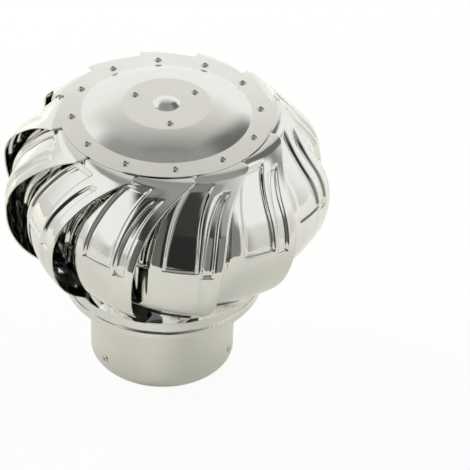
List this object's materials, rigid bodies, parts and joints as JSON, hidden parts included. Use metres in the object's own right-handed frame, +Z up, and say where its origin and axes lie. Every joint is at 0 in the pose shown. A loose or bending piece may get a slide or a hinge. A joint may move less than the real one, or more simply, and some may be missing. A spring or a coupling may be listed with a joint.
{
  "type": "roof turbine ventilator",
  "caption": "Wind-driven roof vent: a barrel of curved pressed vanes riveted between a domed cap and a bottom ring spins on a shaft above a round duct neck.",
  "frame": {"origin": "centre of the neck's bottom rim, on the spin axis", "axes": "+Z up along the spin axis; -Y is the side that faces the viewer in the picture; +X to the viewer's right"},
  "size_m": [0.2388, 0.2388, 0.2266],
  "materials": {
    "sheet_steel": "mirror-polished stainless sheet",
    "rivet_steel": "domed stainless rivets",
    "plated_steel": "zinc-plated, satin",
    "housing_alloy": "as cast, bored",
    "bearing_steel": "ground",
    "cage_brass": "machined"
  },
  "bodies": {
    "base": {"neck": "sheet_steel", "bracket": "plated_steel", "bracket_rivets": "rivet_steel", "shaft": "plated_steel", "shaft_washers": "plated_steel", "foot_nut": "plated_steel", "lower_inner_race": "bearing_steel", "upper_inner_race": "bearing_steel", "inner_spacer": "plated_steel", "lock_washer": "plated_steel", "lock_nut": "plated_steel"},
    "rotor": {"lower_outer_race": "bearing_steel", "upper_outer_race": "bearing_steel", "outer_spacer": "plated_steel", "retaining_ring": "plated_steel", "bearing_housing": "housing_alloy", "housing_rivets": "rivet_steel", "cap": "sheet_steel", "cap_rivets": "rivet_steel", "vane_01": "sheet_steel", "vane_02": "sheet_steel", "vane_03": "sheet_steel", "vane_04": "sheet_steel", "vane_05": "sheet_steel", "vane_06": "sheet_steel", "vane_07": "sheet_steel", "vane_08": "sheet_steel", "vane_09": "sheet_steel", "vane_10": "sheet_steel", "vane_11": "sheet_steel", "vane_12": "sheet_steel", "bottom_ring": "sheet_steel", "ring_rivets": "rivet_steel"},
    "lower_ball_set": {"lower_balls": "bearing_steel", "lower_cage": "cage_brass"},
    "upper_ball_set": {"upper_balls": "bearing_steel", "upper_cage": "cage_brass"}
  },
  "joints": [
    {"name": "rotor_spin", "type": "hinge", "parent": "base", "child": "rotor", "pos_m": [0, 0, 0.2], "axis": [0, 0, 1], "continuous": true},
    {"name": "lower_ball_roll", "type": "hinge", "parent": "base", "child": "lower_ball_set", "pos_m": [0, 0, 0.18], "axis": [0, 0, 1], "continuous": true},
    {"name": "upper_ball_roll", "type": "hinge", "parent": "base", "child": "upper_ball_set", "pos_m": [0, 0, 0.2], "axis": [0, 0, 1], "continuous": true}
  ],
  "couplings": [
    {"joint": "lower_ball_roll", "follows": "rotor_spin", "ratio": 0.63},
    {"joint": "upper_ball_roll", "follows": "rotor_spin", "ratio": 0.63}
  ]
}
